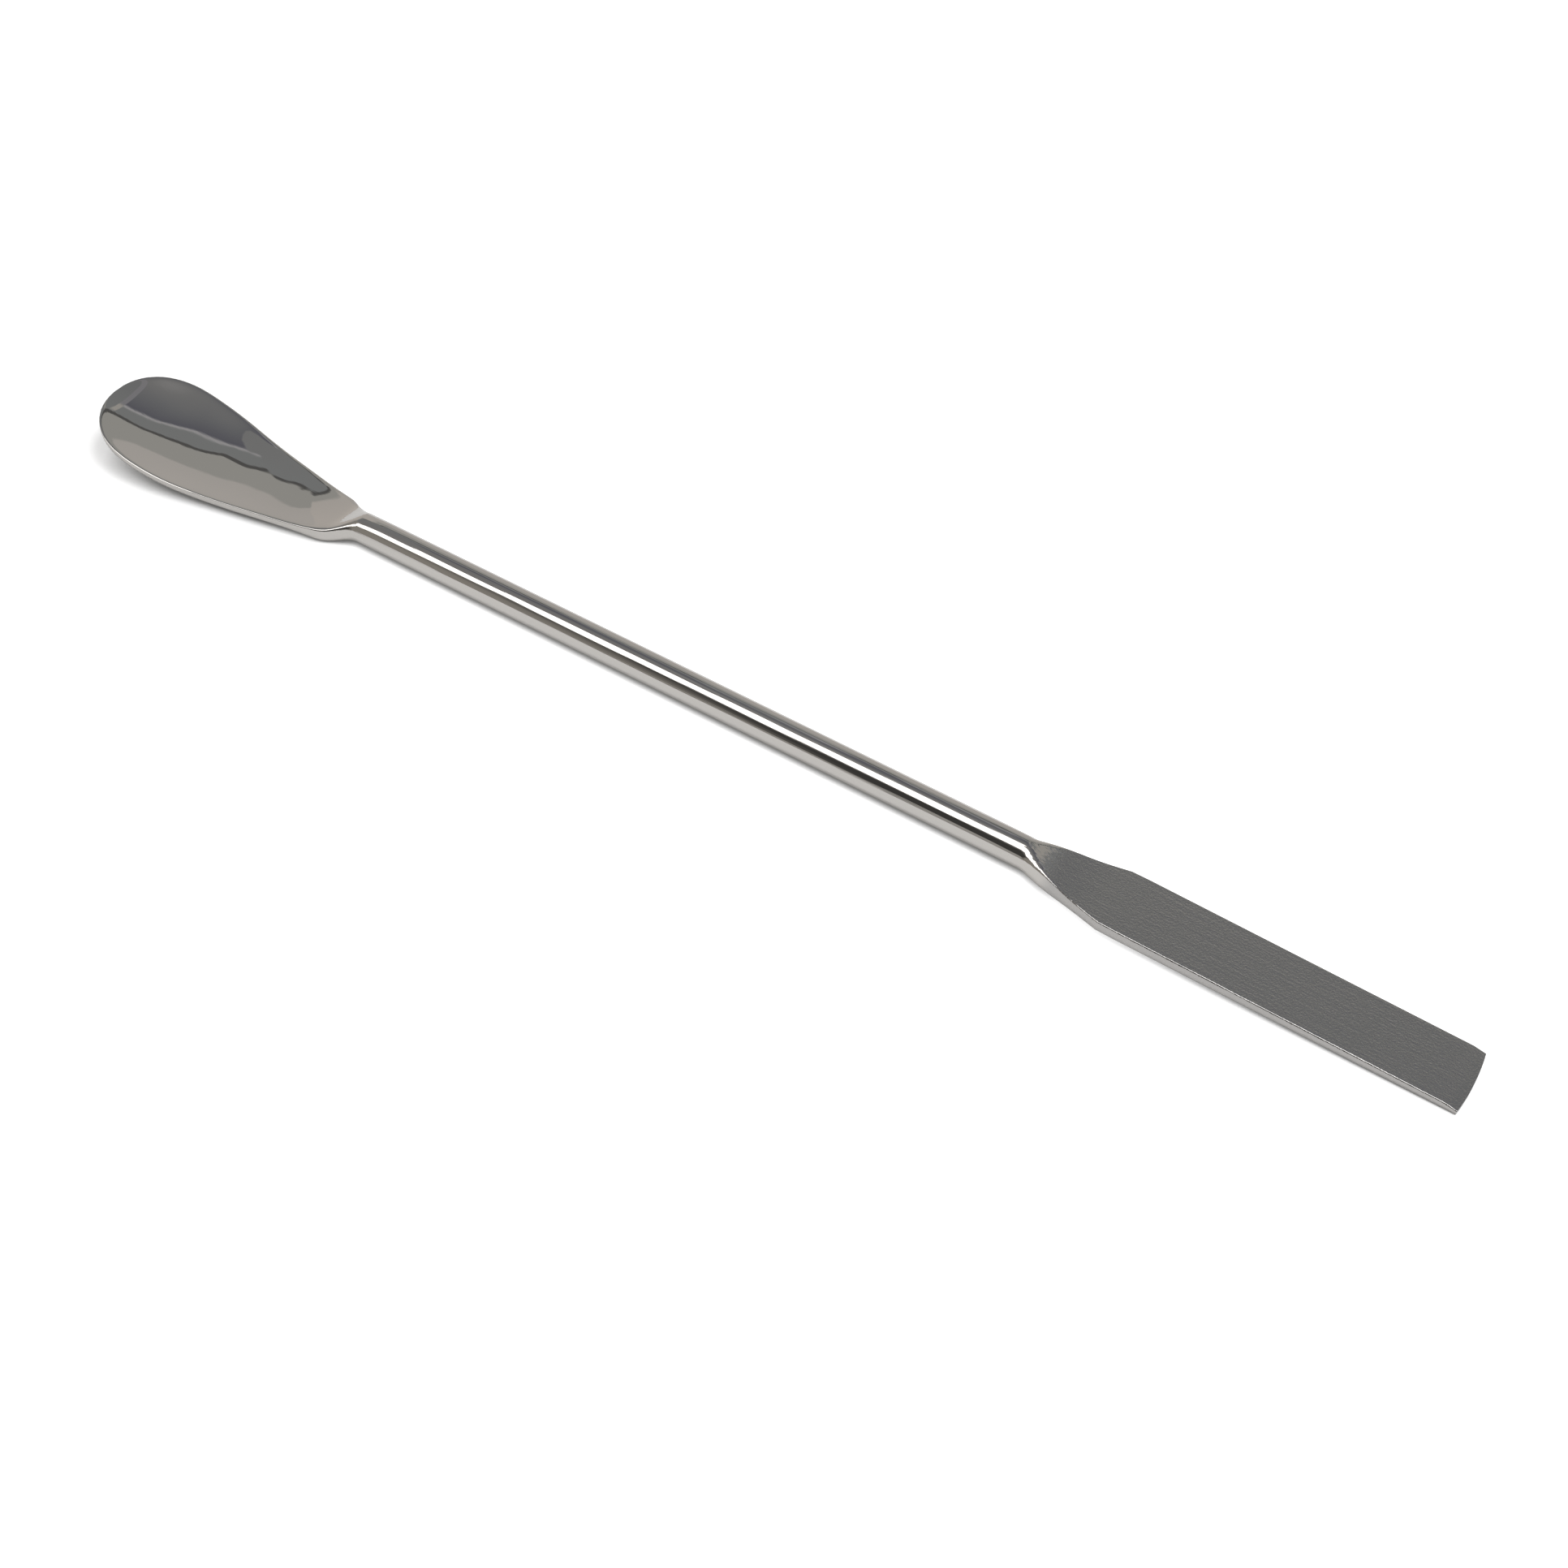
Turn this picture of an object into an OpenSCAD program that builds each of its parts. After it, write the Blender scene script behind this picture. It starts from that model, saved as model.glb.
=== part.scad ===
// Double-ended laboratory spatula, forged in one piece from round stainless rod.
// It lies along X with the spoon at -X and the flat blade at +X, and Z is up.
// The origin is below the middle of the part, on the surface that it rests on.

/* [Rod] */
// Diameter of the round rod
rod_d = 3.8; // [3.2:0.1:4.6]
// Length of the round rod between the two forged ends
rod_len = 87.5; // [60:0.5:120]

/* [Spoon] */
// Length of the spoon, from the end of the round rod to its tip
spoon_len = 37.3; // [33:0.1:48]
// Width of the spoon across its rim at the widest place
spoon_w = 16; // [12:0.1:20]
// Distance from the tip of the spoon to its widest place
spoon_widest = 8.1; // [7:0.1:12]
// Roundness of the tip's outline, where 2 is an ellipse and more is blunter
tip_roundness = 2.3; // [1.9:0.1:2.6]
// Length over which the widest place curves into the straight sides
spoon_cheek = 7.2; // [3:0.1:9]
// Half the width at which the straight sides run into the rod
spoon_root_half = 2.7; // [2:0.05:3]
// Length over which the round rod is beaten out into the spoon
spoon_neck = 6.5; // [5:0.5:10]
// Length over which the bowl's wall thickens towards the rod
neck_fade = 9.5; // [6.5:0.5:12]
// Thickness of the bowl's wall at its middle
bowl_t = 0.7; // [0.6:0.05:0.9]
// Thickness of the rim
rim_t = 1.05; // [0.95:0.05:1.2]
// Depth of the bowl below its rim at the widest place
bowl_depth = 1.35; // [0.8:0.05:1.5]
// Height of the rim's upper edge along the level part of the spoon
rim_h = 1.55; // [1.4:0.05:1.8]
// Height of the rim at the turned-up tip
tip_h = 4.95; // [3:0.05:7]
// Length of the level rim next to the rod
level_len = 14.8; // [12:0.1:18]

/* [Blade] */
// Length of the blade with its shoulders, from the end of the round rod to the tip
blade_len = 52; // [40:0.5:70]
// Length over which the round rod is beaten out flat
blade_neck = 9.5; // [8:0.5:10]
// Distance from the end of the round rod to where the shoulders begin
shoulder_start = 1; // [0.5:0.5:3]
// Distance from the end of the round rod to the corners of the shoulders
shoulder_end = 11.3; // [10.5:0.1:16]
// Width of the blade between its parallel sides
blade_w = 9.1; // [7:0.1:12]
// Thickness of the blade at its shoulders
blade_root_t = 1.3; // [1:0.05:1.6]
// Thickness of the blade at its end, before the bevel
blade_end_t = 0.9; // [0.65:0.05:1]
// Height of the blade's underside at its shoulders
blade_lift = 0.7; // [0.4:0.05:1]
// Length of the bevel ground on the end
bevel_len = 1.2; // [0.6:0.1:2]
// Thickness left at the edge of the bevel
bevel_t = 0.6; // [0.3:0.05:0.65]
// How far the middle of the end edge stands out beyond its corners
end_bulge = 0.3; // [0.2:0.05:1]

/* [Sections] */
// Squareness of the blade's section, where 2 is an ellipse
blade_squareness = 14; // [6:1:16]
// Squareness of the bowl's section, where 2 is an ellipse
bowl_squareness = 8; // [3:0.5:10]
// Points round each section
points = 44; // [32:4:48]
// Spacing of the sections along the spoon and the necks
step = 0.75; // [0.65:0.05:1.5]

/* [Hidden] */
steel = [0.62, 0.61, 0.59];
rod_r = rod_d / 2;

// Stations along X
total_len = spoon_len + rod_len + blade_len;
tip_x = -total_len / 2;
widest_x = tip_x + spoon_widest;
rod_start_x = tip_x + spoon_len;
level_x = rod_start_x - level_len;
rod_end_x = rod_start_x + rod_len;
corner_x = rod_end_x + shoulder_end;
blade_end_x = total_len / 2;
bevel_x = blade_end_x - bevel_len - end_bulge;

// The very tip of the spoon's round end is cut off square
tip_angle = 5;
tip_reach = spoon_widest / pow(cos(tip_angle), 2 / tip_roundness);
// The bowl is pressed with one radius across, wherever it is wide or narrow
bowl_r = spoon_w * spoon_w / 8 / bowl_depth;
// Wall and rim thin to this share of their thickness at the very tip
tip_thin = 0.5;
// Share of the blade's section that is clipped flat above and below
flat_clip = 0.88;
// How much faster than its thickness the spoon's neck spreads and sinks
neck_spread = 1.35;
neck_sink = 1.65;
// Stock past the end of the blade, which the end cut takes away
end_stock = 0.3;
end_r = (pow(blade_w / 2, 2) + pow(end_bulge, 2)) / (2 * end_bulge);

// A blend from 0 to 1 with level ends
function ease(u) = let (v = clamp01(u)) v * v * (3 - 2 * v);
function clamp01(u) = min(1, max(0, u));
function mix(a, b, u) = a + (b - a) * u;
// What is left of the round rod at a share u of a neck
function rod_left(u) = pow(1 - clamp01(u), 2);
// Height on a unit superellipse at a distance from its middle
function arch(across, squareness) = pow(max(0, 1 - pow(abs(across), squareness)), 1 / squareness);

// Half the width of the spoon, which tapers in a straight line from its cheeks to the rod
cheek_curve = (spoon_w / 2 - spoon_root_half)
    / (2 * (rod_start_x - widest_x) * spoon_cheek - spoon_cheek * spoon_cheek);
function spoon_half(x) =
    let (d = x - widest_x)
    d < 0 ? spoon_w / 2 * arch(d / tip_reach, tip_roundness)
    : d < spoon_cheek ? spoon_w / 2 - cheek_curve * d * d
    : spoon_w / 2 - cheek_curve * spoon_cheek * (2 * d - spoon_cheek);

// Height of the spoon's rim, level beside the rod and turned up towards the tip
function rim_height(x) = rim_h + (tip_h - rim_h) * pow(max(0, level_x - x) / (level_x - tip_x), 2);

// Depth of the bowl below its rim, which never lets the wall dip below the rod's underside
function dish_depth(x) = min(pow(spoon_half(x), 2) / (2 * bowl_r), rim_height(x) - bowl_t);

// Height of the middle of the blade's thickness
function blade_mid(x) = mix(blade_lift + blade_root_t / 2, blade_end_t / 2,
    (x - corner_x) / (bevel_x - corner_x));

// Thickness of the blade, before the bevel
function blade_t(x) = mix(blade_root_t, blade_end_t, clamp01((x - corner_x) / (bevel_x - corner_x)));

// Each section is [x, half width, half thickness and its gain at the edges, height of its middle,
// dish, squareness, clip]
function spoon_section(x) =
    let (
        out = (rod_start_x - x) / spoon_neck,
        thin = mix(tip_thin, 1, sqrt(clamp01((x - tip_x) / spoon_widest))),
        gain = (rim_t - bowl_t) / 2 * thin * ease(out),
        wall = bowl_t / 2 * thin,
        thick = mix(wall, rod_r, rod_left((rod_start_x - x) / neck_fade)),
        depth = dish_depth(x),
        mid = mix(rod_r, rim_height(x) - depth - wall, ease(neck_sink * out))
    )
    [x, mix(rod_r, spoon_half(x), ease(neck_spread * out)), thick, gain, max(thick, mid),
        depth * ease(out) - gain, mix(2, bowl_squareness, ease(out)), 1];

function blade_section(x) =
    let (
        out = (x - rod_end_x) / blade_neck,
        widen = clamp01((x - rod_end_x - shoulder_start) / (shoulder_end - shoulder_start)),
        thick = mix(blade_t(x), bevel_t, clamp01((x - bevel_x) / (blade_end_x - bevel_x))),
        mid = x > bevel_x ? thick / 2 : mix(blade_mid(x), rod_r, rod_left(out))
    )
    [x, mix(rod_r, blade_w / 2, widen), mix(thick / 2, rod_r, rod_left(out)), 0, mid, 0,
        mix(2, blade_squareness, ease(1.6 * out)), mix(1, flat_clip, ease(1.6 * out))];

// Points of one section, as a superellipse that may be clipped flat and dished
function section_points(s) = [
    for (i = [0:points - 1])
        let (
            a = 360 * i / points,
            across = cos(a),
            up = sign(sin(a)) * min(s[7], arch(across, s[6])) / s[7]
        )
        [s[0], s[1] * across, s[4] + (s[2] + s[3] * across * across) * up + s[5] * across * across]
];

// Stations from a to b, about one step apart, without b
function stations(a, b, spacing) =
    let (n = ceil((b - a) / spacing))
    [for (i = [0:n - 1]) a + (b - a) * i / n];

// Stations round the spoon's tip lie at equal angles
tip_steps = ceil(1.6 * spoon_widest / step);
function tip_station(i) =
    widest_x - tip_reach * pow(cos(mix(tip_angle, 90, i / tip_steps)), 2 / tip_roundness);

sections = [
    for (i = [0:tip_steps - 1]) spoon_section(tip_station(i)),
    for (x = stations(widest_x, rod_start_x - spoon_neck, step)) spoon_section(x),
    for (x = stations(rod_start_x - spoon_neck, rod_start_x, step / 2)) spoon_section(x),
    spoon_section(rod_start_x),
    for (x = stations(rod_end_x, rod_end_x + shoulder_start, step / 2)) blade_section(x),
    for (x = stations(rod_end_x + shoulder_start, corner_x, step / 2)) blade_section(x),
    for (x = [corner_x, bevel_x, blade_end_x + end_stock]) blade_section(x)
];

// The skin through all sections, closed by the first and the last of them
module forging() {
    last = len(sections) - 1;
    skin = [
        for (j = [0:last - 1], i = [0:points - 1])
            let (
                k = (i + 1) % points,
                a = j * points + i,
                b = j * points + k,
                c = (j + 1) * points + k,
                d = (j + 1) * points + i
            )
            each [[a, b, c], [a, c, d]]
    ];
    first_cap = [for (i = [points - 1:-1:0]) i];
    last_cap = [for (i = [0:points - 1]) last * points + i];
    polyhedron([for (s = sections) each section_points(s)], concat([first_cap], skin, [last_cap]));
}

// What is ground away past the shallow arc of the blade's end
module end_cut() {
    reach = 2 * blade_w;
    difference() {
        translate([blade_end_x - end_bulge * 3, -reach / 2, -reach / 2]) cube([reach, reach, reach]);
        translate([blade_end_x - end_r, 0, -reach]) cylinder(r = end_r, h = 2 * reach, $fn = 180);
    }
}

module spatula() {
    color(steel) difference() {
        forging();
        end_cut();
    }
}

spatula();
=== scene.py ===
import math

import bpy
from mathutils import Matrix, Vector


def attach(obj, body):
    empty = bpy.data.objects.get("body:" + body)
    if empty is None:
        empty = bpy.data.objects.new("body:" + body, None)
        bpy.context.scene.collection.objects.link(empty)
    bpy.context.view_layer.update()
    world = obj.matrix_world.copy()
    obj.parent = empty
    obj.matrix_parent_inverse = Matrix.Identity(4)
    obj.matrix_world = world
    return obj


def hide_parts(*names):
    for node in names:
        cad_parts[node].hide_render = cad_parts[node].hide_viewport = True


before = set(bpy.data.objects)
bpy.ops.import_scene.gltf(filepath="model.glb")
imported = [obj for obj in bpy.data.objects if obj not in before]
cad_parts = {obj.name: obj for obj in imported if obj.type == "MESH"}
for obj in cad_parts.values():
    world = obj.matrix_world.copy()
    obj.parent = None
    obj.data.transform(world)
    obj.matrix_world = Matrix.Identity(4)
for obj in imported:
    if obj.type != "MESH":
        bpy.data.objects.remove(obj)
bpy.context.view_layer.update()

MM = 0.001

# Sizes of the forging, in millimetres, as the solid has them
ROD_R = 1.9
SPOON_LEN = 37.3
ROD_LEN = 87.5
BLADE_LEN = 52.0
SPOON_W = 16.0
SPOON_WIDEST = 8.1
TIP_ROUNDNESS = 2.3
SPOON_CHEEK = 7.2
SPOON_ROOT_HALF = 2.7
SPOON_NECK = 6.5
NECK_FADE = 9.5
BOWL_T = 0.7
RIM_T = 1.05
BOWL_DEPTH = 1.35
RIM_H = 1.55
TIP_H = 4.95
LEVEL_LEN = 14.8
BLADE_NECK = 9.5
SHOULDER_START = 1.0
SHOULDER_END = 11.3
BLADE_W = 9.1
BLADE_ROOT_T = 1.3
BLADE_END_T = 0.9
BLADE_LIFT = 0.7
BEVEL_LEN = 1.2
BEVEL_T = 0.6
END_BULGE = 0.3
BOWL_SQUARENESS = 8.0
NECK_SPREAD = 1.35
NECK_SINK = 1.65
TIP_ANGLE = math.radians(5)
TIP_THIN = 0.5
# Polishing has rounded the blade's long edges, a little more than in the solid, so they catch the light
BLADE_SQUARENESS = 7.0
FLAT_CLIP = 0.8

# Stations along X, in millimetres
TOTAL_LEN = SPOON_LEN + ROD_LEN + BLADE_LEN
TIP_X = -TOTAL_LEN / 2
WIDEST_X = TIP_X + SPOON_WIDEST
ROD_START_X = TIP_X + SPOON_LEN
LEVEL_X = ROD_START_X - LEVEL_LEN
ROD_END_X = ROD_START_X + ROD_LEN
CORNER_X = ROD_END_X + SHOULDER_END
BLADE_END_X = TOTAL_LEN / 2
BEVEL_X = BLADE_END_X - BEVEL_LEN - END_BULGE
TIP_REACH = SPOON_WIDEST / math.cos(TIP_ANGLE) ** (2 / TIP_ROUNDNESS)
BOWL_R = SPOON_W ** 2 / 8 / BOWL_DEPTH


def linear(hex_colour):
    """A colour written as sRGB hex, as the linear RGBA that the shaders take."""
    parts = [int(hex_colour[i:i + 2], 16) / 255 for i in (1, 3, 5)]
    return tuple(c / 12.92 if c <= 0.04045 else ((c + 0.055) / 1.055) ** 2.4 for c in parts) + (1.0,)


def add_node(tree, kind, settings, inputs):
    """Adds one node. An input is a plain value or the output socket that feeds it."""
    node = tree.nodes.new(kind)
    for name, value in settings.items():
        setattr(node, name, value)
    for name, value in inputs.items():
        if isinstance(value, bpy.types.NodeSocket):
            tree.links.new(value, node.inputs[name])
        else:
            node.inputs[name].default_value = value
    return node


def clamp01(u):
    return min(1.0, max(0.0, u))


def ease(u):
    v = clamp01(u)
    return v * v * (3 - 2 * v)


def mix(a, b, u):
    return a + (b - a) * u


def rod_left(u):
    """What is left of the round rod at a share u of a neck."""
    return (1 - clamp01(u)) ** 2


def arch(across, squareness):
    """Height on a unit superellipse at a distance from its middle."""
    return max(0.0, 1 - abs(across) ** squareness) ** (1 / squareness)


# The forging's sections

CHEEK_CURVE = (SPOON_W / 2 - SPOON_ROOT_HALF) / (
    2 * (ROD_START_X - WIDEST_X) * SPOON_CHEEK - SPOON_CHEEK ** 2)


def spoon_half(x):
    """Half the width of the spoon, which tapers in a straight line from its cheeks to the rod."""
    d = x - WIDEST_X
    if d < 0:
        return SPOON_W / 2 * arch(d / TIP_REACH, TIP_ROUNDNESS)
    if d < SPOON_CHEEK:
        return SPOON_W / 2 - CHEEK_CURVE * d * d
    return SPOON_W / 2 - CHEEK_CURVE * SPOON_CHEEK * (2 * d - SPOON_CHEEK)


def rim_height(x):
    """Height of the spoon's rim, level beside the rod and turned up towards the tip."""
    return RIM_H + (TIP_H - RIM_H) * (max(0.0, LEVEL_X - x) / (LEVEL_X - TIP_X)) ** 2


def spoon_section(x):
    """Half width, half thickness and its gain at the edges, middle height, dish, squareness and clip."""
    out = (ROD_START_X - x) / SPOON_NECK
    thin = mix(TIP_THIN, 1, math.sqrt(clamp01((x - TIP_X) / SPOON_WIDEST)))
    gain = (RIM_T - BOWL_T) / 2 * thin * ease(out)
    wall = BOWL_T / 2 * thin
    thick = mix(wall, ROD_R, rod_left((ROD_START_X - x) / NECK_FADE))
    depth = min(spoon_half(x) ** 2 / (2 * BOWL_R), rim_height(x) - BOWL_T)
    mid = mix(ROD_R, rim_height(x) - depth - wall, ease(NECK_SINK * out))
    return (mix(ROD_R, spoon_half(x), ease(NECK_SPREAD * out)), thick, gain, max(thick, mid),
            depth * ease(out) - gain, mix(2, BOWL_SQUARENESS, ease(out)), 1.0)


def blade_section(x):
    """The same values for a section of the blade."""
    out = (x - ROD_END_X) / BLADE_NECK
    widen = clamp01((x - ROD_END_X - SHOULDER_START) / (SHOULDER_END - SHOULDER_START))
    along = (x - CORNER_X) / (BEVEL_X - CORNER_X)
    bevel = clamp01((x - BEVEL_X) / (BLADE_END_X - BEVEL_X))
    thick = mix(mix(BLADE_ROOT_T, BLADE_END_T, clamp01(along)), BEVEL_T, bevel)
    straight = mix(BLADE_LIFT + BLADE_ROOT_T / 2, BLADE_END_T / 2, along)
    flat = ease(1.6 * out)
    return (mix(ROD_R, BLADE_W / 2, widen), mix(thick / 2, ROD_R, rod_left(out)), 0.0,
            thick / 2 if x > BEVEL_X else mix(straight, ROD_R, rod_left(out)), 0.0,
            mix(2, BLADE_SQUARENESS, flat), mix(1, FLAT_CLIP, flat))


def section_point(x, angle):
    """The point of the skin at a station and at an angle round the section."""
    half, thick, gain, mid, dish, square, clip = spoon_section(x) if x < 0 else blade_section(x)
    across = math.cos(angle)
    up = math.copysign(min(clip, arch(across, square)) / clip, math.sin(angle))
    return Vector((x, half * across, mid + (thick + gain * across ** 2) * up + dish * across ** 2))


# The forging as a skin

SIDES = 96
# Spacing of the rings where the skin bends, along the plain rod and along the flat blade
STEP = 0.45
ROD_STEP = 3.0
BLADE_STEP = 2.0
# Length of the blade's end over which its sections bend with the end's arc
BEND_LEN = 2.0
# Edges sharper than this stay crisp
SMOOTH_ANGLE = math.radians(40)


def spaced(a, b, step):
    count = math.ceil((b - a) / step)
    return [a + (b - a) * i / count for i in range(count)]


def stations():
    """Where the sections stand: at equal angles round the tip, then close together where the skin bends."""
    turns = math.ceil(1.6 * SPOON_WIDEST / STEP)
    tip = [WIDEST_X - TIP_REACH * math.cos(mix(TIP_ANGLE, math.pi / 2, i / turns)) ** (2 / TIP_ROUNDNESS)
           for i in range(turns)]
    return (tip + spaced(WIDEST_X, ROD_START_X - SPOON_NECK, STEP)
            + spaced(ROD_START_X - SPOON_NECK, ROD_START_X, STEP / 2)
            + spaced(ROD_START_X, ROD_END_X, ROD_STEP)
            + spaced(ROD_END_X, CORNER_X, STEP / 2) + spaced(CORNER_X, BEVEL_X, BLADE_STEP)
            + spaced(BEVEL_X, BLADE_END_X, STEP) + [BLADE_END_X])


def end_arc(point):
    """The end of the blade is a shallow arc, and sections near it bend with it."""
    near_end = clamp01((point.x - BEVEL_X + BEND_LEN) / (BLADE_END_X - BEVEL_X + BEND_LEN))
    point.x -= END_BULGE * near_end * (2 * point.y / BLADE_W) ** 2
    return point


def make_forging():
    """A round bar, cut into rings along its length, that is then beaten to shape ring by ring."""
    rings = stations()
    bpy.ops.object.select_all(action="DESELECT")
    bpy.ops.mesh.primitive_cylinder_add(vertices=SIDES, radius=ROD_R * MM, depth=2.0,
                                        end_fill_type="NGON", location=(0, 0, 0),
                                        rotation=(0, math.pi / 2, 0))
    bar = bpy.context.object
    bar.name = "forged_spatula"
    bpy.ops.object.transform_apply(location=True, rotation=True, scale=True)
    mesh = bar.data
    bpy.ops.object.mode_set(mode="EDIT")
    bpy.ops.mesh.select_mode(type="EDGE")
    bpy.ops.mesh.select_all(action="DESELECT")
    bpy.ops.object.mode_set(mode="OBJECT")
    for edge in mesh.edges:
        a, b = (mesh.vertices[v].co for v in edge.vertices)
        edge.select = abs(a.x - b.x) > 1.0
    bpy.ops.object.mode_set(mode="EDIT")
    bpy.ops.mesh.subdivide(number_cuts=len(rings) - 2)
    bpy.ops.object.mode_set(mode="OBJECT")
    for vertex in mesh.vertices:
        ring = round((vertex.co.x + 1) / 2 * (len(rings) - 1))
        angle = math.atan2(vertex.co.z, vertex.co.y)
        side = round(angle / (2 * math.pi) * SIDES)
        vertex.co = end_arc(section_point(rings[ring], 2 * math.pi * side / SIDES)) * MM
    bpy.ops.object.mode_set(mode="EDIT")
    bpy.ops.mesh.select_all(action="SELECT")
    bpy.ops.mesh.normals_make_consistent(inside=False)
    bpy.ops.object.mode_set(mode="OBJECT")
    bpy.ops.object.shade_smooth_by_angle(angle=SMOOTH_ANGLE)
    return bar


# Finishes

# Where one finish passes into the next along X, and on the blade from its satin to its burnished edges
BLADE_FINISH_X = (ROD_END_X + 3.0, ROD_END_X + 5.0)
SPOON_FINISH_X = (ROD_START_X - 2.0, ROD_START_X - 6.0)
BURNISHED_Y = (BLADE_W / 2 - 0.18, BLADE_W / 2 - 0.12)
ROD_ROUGHNESS = 0.035
SPOON_ROUGHNESS = 0.02
SATIN_ROUGHNESS = 0.2
BURNISHED_ROUGHNESS = 0.06
POLISHED_COLOUR = "#c5c2be"
SATIN_COLOUR = "#b1afad"
# Waves in a metre, and depths in metres. The drawn lines are 0.4 mm apart and 33 mm long, and the bowl's
# dents 8 mm apart. The satin's grain, 0.2 mm, is coarser than the real one, so that it shows at all.
STREAK_SCALE = (30, 2600, 2600)
STREAK_DEPTH = 0.00002
ROD_STREAKS = 1.0
SPOON_STREAKS = 0.06
DENT_SCALE = 130.0
DENT_DEPTH = 0.00012
GRAIN_SCALE = 4500.0
GRAIN_DEPTH = 0.00003


def polished_steel():
    """Forged stainless steel. The rod is polished along its length, which leaves fine lines in its bright
    bands. The bowl is buffed like a mirror and faintly dented, so its reflections waver. The blade is
    ground to a satin, which blurs the room to one even grey."""
    material = bpy.data.materials.new("forged_stainless_steel_polished")
    material.use_nodes = True
    tree = material.node_tree
    tree.nodes.clear()
    place = add_node(tree, "ShaderNodeTexCoord", {}, {}).outputs["Object"]
    axes = add_node(tree, "ShaderNodeSeparateXYZ", {}, {"Vector": place})
    along = axes.outputs["X"]
    on_blade = add_node(tree, "ShaderNodeMapRange", {"interpolation_type": "SMOOTHSTEP"},
                        {"Value": along, "From Min": BLADE_FINISH_X[0] * MM,
                         "From Max": BLADE_FINISH_X[1] * MM})
    on_spoon = add_node(tree, "ShaderNodeMapRange", {"interpolation_type": "SMOOTHSTEP"},
                        {"Value": along, "From Min": SPOON_FINISH_X[0] * MM,
                         "From Max": SPOON_FINISH_X[1] * MM})
    polish = add_node(tree, "ShaderNodeMapRange", {},
                      {"Value": on_spoon.outputs["Result"], "To Min": ROD_ROUGHNESS,
                       "To Max": SPOON_ROUGHNESS})
    aside = add_node(tree, "ShaderNodeMath", {"operation": "ABSOLUTE"}, {0: axes.outputs["Y"]})
    satin = add_node(tree, "ShaderNodeMapRange", {},
                     {"Value": aside.outputs[0], "From Min": BURNISHED_Y[0] * MM,
                      "From Max": BURNISHED_Y[1] * MM, "To Min": SATIN_ROUGHNESS,
                      "To Max": BURNISHED_ROUGHNESS})
    rough = add_node(tree, "ShaderNodeMapRange", {},
                     {"Value": on_blade.outputs["Result"], "To Min": polish.outputs["Result"],
                      "To Max": satin.outputs["Result"]})
    tone = add_node(tree, "ShaderNodeMix", {"data_type": "RGBA"},
                    {0: on_blade.outputs["Result"], 6: linear(POLISHED_COLOUR), 7: linear(SATIN_COLOUR)})
    drawn_marks = add_node(tree, "ShaderNodeMapRange", {},
                           {"Value": on_spoon.outputs["Result"], "To Min": ROD_STREAKS,
                            "To Max": SPOON_STREAKS})
    drawn = add_node(tree, "ShaderNodeMapping", {}, {"Vector": place, "Scale": STREAK_SCALE})
    lines = add_node(tree, "ShaderNodeTexNoise", {}, {"Vector": drawn.outputs["Vector"], "Scale": 1.0})
    streaks = add_node(tree, "ShaderNodeBump", {},
                       {"Height": lines.outputs["Fac"], "Strength": drawn_marks.outputs["Result"],
                        "Distance": STREAK_DEPTH})
    waves = add_node(tree, "ShaderNodeTexNoise", {}, {"Vector": place, "Scale": DENT_SCALE, "Detail": 1.0})
    dents = add_node(tree, "ShaderNodeBump", {},
                     {"Height": waves.outputs["Fac"], "Strength": on_spoon.outputs["Result"],
                      "Distance": DENT_DEPTH, "Normal": streaks.outputs["Normal"]})
    specks = add_node(tree, "ShaderNodeTexNoise", {}, {"Vector": place, "Scale": GRAIN_SCALE, "Detail": 1.0})
    grain = add_node(tree, "ShaderNodeBump", {},
                     {"Height": specks.outputs["Fac"], "Strength": on_blade.outputs["Result"],
                      "Distance": GRAIN_DEPTH, "Normal": dents.outputs["Normal"]})
    shader = add_node(tree, "ShaderNodeBsdfPrincipled", {},
                      {"Base Color": tone.outputs[2], "Metallic": 1.0,
                       "Roughness": rough.outputs["Result"], "Normal": grain.outputs["Normal"]})
    add_node(tree, "ShaderNodeOutputMaterial", {}, {"Surface": shader.outputs["BSDF"]})
    return material


# The stage: floor, lights, surroundings and camera

# The floor's own glow, painted light that washes out the table and the shadows on it, is weaker beside the
# raised spoon, whose shadow shows.
# Places and lengths are in metres. The dark contact line is painted shade: the glow is darkened where it is
# hidden from the open air.
FLOOR_SIZE = 6.0
WASHED_X = (-0.066, -0.046)
GLOW_BY_SPOON = 0.42
GLOW = 0.8
GLOW_MIRRORED = 0.25
# How far the painted shade of the contact line reaches, beside the spoon and elsewhere
PAINTED_SHADE_X = (-0.07, -0.055)
PAINTED_SHADE_BY_SPOON = 0.003
PAINTED_SHADE_REACH = 0.0007


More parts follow.
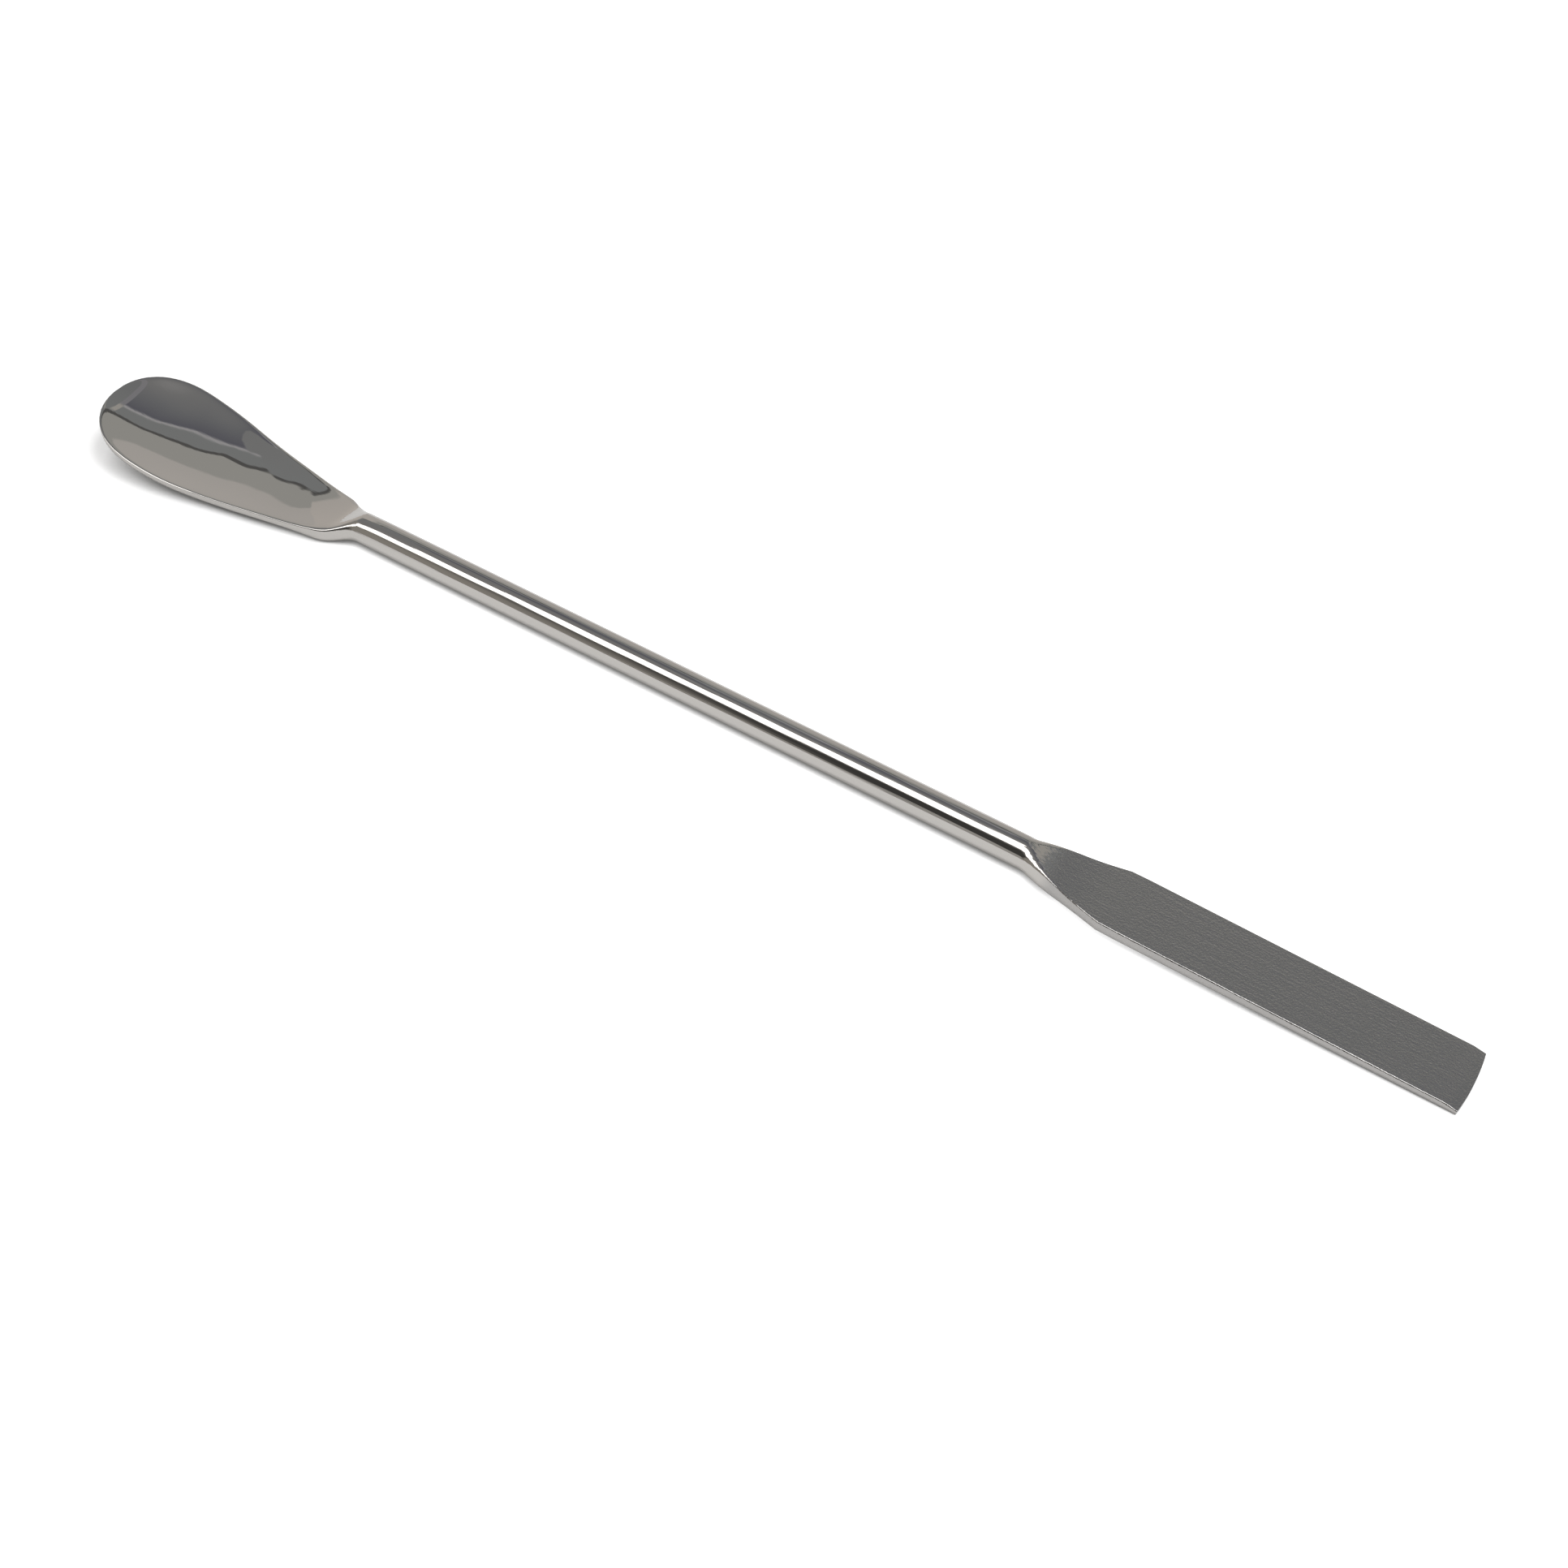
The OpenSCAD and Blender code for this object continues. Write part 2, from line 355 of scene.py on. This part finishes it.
def make_floor():
    """A white table that keeps the object's soft shadow, with a dark line of painted shade along where the
    object touches it.
    """
    bpy.ops.object.select_all(action="DESELECT")
    bpy.ops.mesh.primitive_plane_add(size=FLOOR_SIZE, location=(0, 0, 0))
    floor = bpy.context.object
    floor.name = "floor"
    material = bpy.data.materials.new("white_table_painted_shade")
    material.use_nodes = True
    tree = material.node_tree
    tree.nodes.clear()
    place = add_node(tree, "ShaderNodeTexCoord", {}, {}).outputs["Object"]
    along = add_node(tree, "ShaderNodeSeparateXYZ", {}, {"Vector": place}).outputs["X"]
    # The painted glow, weaker beside the spoon so that its real shadow shows
    bleached = add_node(tree, "ShaderNodeMapRange", {"interpolation_type": "SMOOTHSTEP"},
                        {"Value": along, "From Min": WASHED_X[0], "From Max": WASHED_X[1],
                         "To Min": GLOW_BY_SPOON, "To Max": GLOW})
    painted_shade_reach = add_node(tree, "ShaderNodeMapRange", {},
                     {"Value": along, "From Min": PAINTED_SHADE_X[0], "From Max": PAINTED_SHADE_X[1],
                      "To Min": PAINTED_SHADE_BY_SPOON, "To Max": PAINTED_SHADE_REACH})
    paths = add_node(tree, "ShaderNodeLightPath", {}, {})
    # Painted shade: occlusion darkens the floor's glow near the forging, and the steel mirrors that dark
    # line too
    painted_shade = add_node(tree, "ShaderNodeAmbientOcclusion", {"samples": 12},
                       {"Distance": painted_shade_reach.outputs["Result"]})
    mirrored = add_node(tree, "ShaderNodeMath", {"operation": "MULTIPLY_ADD"},
                        {0: paths.outputs["Is Glossy Ray"], 1: GLOW_MIRRORED,
                         2: paths.outputs["Is Camera Ray"]})
    seen = add_node(tree, "ShaderNodeMath", {"operation": "MULTIPLY"},
                    {0: mirrored.outputs[0], 1: painted_shade.outputs["AO"]})
    glow = add_node(tree, "ShaderNodeMath", {"operation": "MULTIPLY"},
                    {0: seen.outputs[0], 1: bleached.outputs["Result"]})
    shader = add_node(tree, "ShaderNodeBsdfPrincipled", {},
                      {"Base Color": linear("#c8c8c8"), "Roughness": 0.9, "Specular IOR Level": 0.0,
                       "Emission Color": (1, 1, 1, 1), "Emission Strength": glow.outputs[0]})
    add_node(tree, "ShaderNodeOutputMaterial", {}, {"Surface": shader.outputs["BSDF"]})
    floor.data.materials.append(material)


# The room is squared up with the camera, which is turned from the rod
ROOM_TURN = math.radians(25.0)
# What stands round the table, by its angle in degrees above the near horizon, over the top and down to the
# far horizon: a dark ceiling with a light seam, grey walls with a dark seam, and a beige wall
NEAR_SIDE = [(0, "#b0aeab"), (9, "#b0aeab"), (12, "#484746"), (48, "#484746"), (60, "#a09e9c")]


def far_side(seam):
    """The grey wall's end at a dark seam, and the lighter wall past it."""
    return [(seam - 0.3, "#8f9294"), (seam, "#626262"), (seam + 1.6, "#626262"), (seam + 2, "#b1b1ae")]


ROOM = NEAR_SIDE + [
    (98, "#9e9ea0"), (103, "#8c8d8f"), (112, "#7d7f84"), (121.5, "#6c6d77"), (122, "#b4b4b8"),
    (123.4, "#b4b4b8"), (123.9, "#8f9294"),
] + far_side(132) + [(146.5, "#b1b1ae"), (147.5, "#c8c5c2"), (180, "#d0ccc8")]
# The wall at the left end of the room and the light gap at its near end
LEFT_WALL = NEAR_SIDE + [(100, "#8c8c8e")] + far_side(134) + [
    (140, "#b1b1ae"), (142, "#ccc8c4"), (180, "#d8d2cc")]
LEFT_GAP = "#a09c96"
# The light edge of the dark ceiling at the right end of the room, and the wall past it
RIGHT_EDGE = NEAR_SIDE + [
    (108, "#94949a"), (122, "#94949a"), (124, "#b8b6b2"), (130, "#b8b6b2")] + far_side(132)
RIGHT_WALL = NEAR_SIDE + [(100, "#85878a")] + far_side(132)
# Where each of these begins and is full, as the sine of the angle to the side
LEFT_WALL_AT = (-0.303, -0.311)
LEFT_GAP_AT = (-0.62, -0.78)
RIGHT_EDGE_AT = (0.43, 0.44)
RIGHT_WALL_AT = (0.475, 0.485)
# The ceiling's seam hangs lower towards the left, by so many degrees, and the seams past it don't
SAG = 3.2
SAG_AT = (-0.13, -0.28)
SAG_FADES = (125, 131)


def add_ramp(tree, share, stops):
    """Colours by angle, given in degrees from 0 to 180."""
    ramp = add_node(tree, "ShaderNodeValToRGB", {}, {"Fac": share})
    elements = ramp.color_ramp.elements
    elements.remove(elements[-1])
    elements[0].position = 0
    elements[0].color = linear(stops[0][1])
    for degrees, colour in stops[1:]:
        elements.new(degrees / 180).color = linear(colour)
    return ramp.outputs["Color"]


def make_surroundings():
    """The room that the steel mirrors. The camera itself sees plain white past the table."""
    world = bpy.data.worlds.new("studio")
    bpy.context.scene.world = world
    world.use_nodes = True
    tree = world.node_tree
    tree.nodes.clear()
    direction = add_node(tree, "ShaderNodeTexCoord", {}, {}).outputs["Generated"]
    turned = add_node(tree, "ShaderNodeVectorRotate", {"rotation_type": "Z_AXIS"},
                      {"Vector": direction, "Angle": -ROOM_TURN})
    axes = add_node(tree, "ShaderNodeSeparateXYZ", {}, {"Vector": turned.outputs["Vector"]})
    near = add_node(tree, "ShaderNodeMath", {"operation": "MULTIPLY"}, {0: axes.outputs["Y"], 1: -1.0})
    angle = add_node(tree, "ShaderNodeMath", {"operation": "ARCTAN2"},
                     {0: axes.outputs["Z"], 1: near.outputs[0]})
    level = add_node(tree, "ShaderNodeMath", {"operation": "DIVIDE"}, {0: angle.outputs[0], 1: math.pi})
    leftward = add_node(tree, "ShaderNodeMapRange", {},
                        {"Value": axes.outputs["X"], "From Min": SAG_AT[0], "From Max": SAG_AT[1],
                         "To Max": SAG / 180})
    low = add_node(tree, "ShaderNodeMapRange", {},
                   {"Value": level.outputs[0], "From Min": SAG_FADES[0] / 180,
                    "From Max": SAG_FADES[1] / 180, "To Min": leftward.outputs["Result"], "To Max": 0.0})
    share = add_node(tree, "ShaderNodeMath", {"operation": "SUBTRACT", "use_clamp": True},
                     {0: level.outputs[0], 1: low.outputs["Result"]}).outputs[0]
    colour = add_ramp(tree, share, ROOM)
    for (start, end), wall in ((LEFT_WALL_AT, add_ramp(tree, share, LEFT_WALL)),
                               (LEFT_GAP_AT, linear(LEFT_GAP)),
                               (RIGHT_EDGE_AT, add_ramp(tree, share, RIGHT_EDGE)),
                               (RIGHT_WALL_AT, add_ramp(tree, share, RIGHT_WALL))):
        beyond = add_node(tree, "ShaderNodeMapRange", {"interpolation_type": "SMOOTHSTEP"},
                          {"Value": axes.outputs["X"], "From Min": start, "From Max": end})
        colour = add_node(tree, "ShaderNodeMix", {"data_type": "RGBA"},
                          {0: beyond.outputs["Result"], 6: colour, 7: wall}).outputs[2]
    paths = add_node(tree, "ShaderNodeLightPath", {}, {})
    seen = add_node(tree, "ShaderNodeMix", {"data_type": "RGBA"},
                    {0: paths.outputs["Is Camera Ray"], 6: colour, 7: (1, 1, 1, 1)})
    back = add_node(tree, "ShaderNodeBackground", {}, {"Color": seen.outputs[2], "Strength": 1.0})
    add_node(tree, "ShaderNodeOutputWorld", {}, {"Surface": back.outputs["Background"]})


def add_light(name, aside, rise, distance, size, watts, in_reflections):
    """A rectangular lamp that faces the table, placed aside and by its angle above the near horizon."""
    right = Vector((math.cos(ROOM_TURN), math.sin(ROOM_TURN), 0))
    far = Vector((-math.sin(ROOM_TURN), math.cos(ROOM_TURN), 0))
    back = Vector((0, 0, math.sin(rise))) - far * math.cos(rise)
    top = back.cross(right)
    place = right * aside + back * distance
    lamp = bpy.data.lights.new(name, "AREA")
    lamp.shape = "RECTANGLE"
    lamp.size, lamp.size_y = size
    lamp.energy = watts
    light = bpy.data.objects.new(name, lamp)
    light.matrix_world = place_matrix(right, top, back, place)
    light.visible_glossy = in_reflections
    bpy.context.collection.objects.link(light)


def place_matrix(right, top, back, place):
    """The placing of a camera or lamp whose own axes point right, up and backwards."""
    return Matrix([(right[row], top[row], back[row], place[row]) for row in range(3)] + [(0, 0, 0, 1)])


def make_lights():
    """A long softbox overhead, mostly at the left, and a key lamp past it that throws the shadows."""
    add_light("softbox", aside=-0.5, rise=math.radians(76), distance=0.8, size=(1.8, 0.42), watts=5.1,
              in_reflections=True)
    add_light("key", aside=0.3, rise=math.radians(100), distance=1.1, size=(0.5, 0.5), watts=9.0,
              in_reflections=False)


# The camera, found by fitting the rod, the spoon's rim and the blade's edges in the photograph, with its
# distances in millimetres
CAMERA_TURN = ROOM_TURN
CAMERA_LIFT = math.radians(45.0)
CAMERA_ROLL = 0.14401
CAMERA_DISTANCE = 272.85
CAMERA_ASIDE = -5.777
CAMERA_ABOVE = 6.971
FOCAL_PIXELS = 3000.0
PHOTO_PIXELS = 1932.0
SENSOR_WIDTH = 36.0


def make_camera():
    turn, lift, roll = CAMERA_TURN, CAMERA_LIFT, CAMERA_ROLL
    back = Vector((math.sin(turn) * math.cos(lift), -math.cos(turn) * math.cos(lift), math.sin(lift)))
    level = Vector((math.cos(turn), math.sin(turn), 0))
    up = back.cross(level)
    right = math.cos(roll) * level + math.sin(roll) * up
    top = -math.sin(roll) * level + math.cos(roll) * up
    place = back * CAMERA_DISTANCE - right * CAMERA_ASIDE - top * CAMERA_ABOVE
    data = bpy.data.cameras.new("camera")
    data.sensor_width = SENSOR_WIDTH
    data.lens = FOCAL_PIXELS / PHOTO_PIXELS * SENSOR_WIDTH
    data.clip_start = 0.01
    camera = bpy.data.objects.new("camera", data)
    camera.matrix_world = place_matrix(right, top, back, place * MM)
    bpy.context.collection.objects.link(camera)
    bpy.context.scene.camera = camera


bpy.context.scene.view_settings.view_transform = "Standard"
make_camera()
make_floor()
make_lights()
make_surroundings()
forging = make_forging()
forging.data.materials.append(polished_steel())
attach(forging, "root")
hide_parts("spatula")
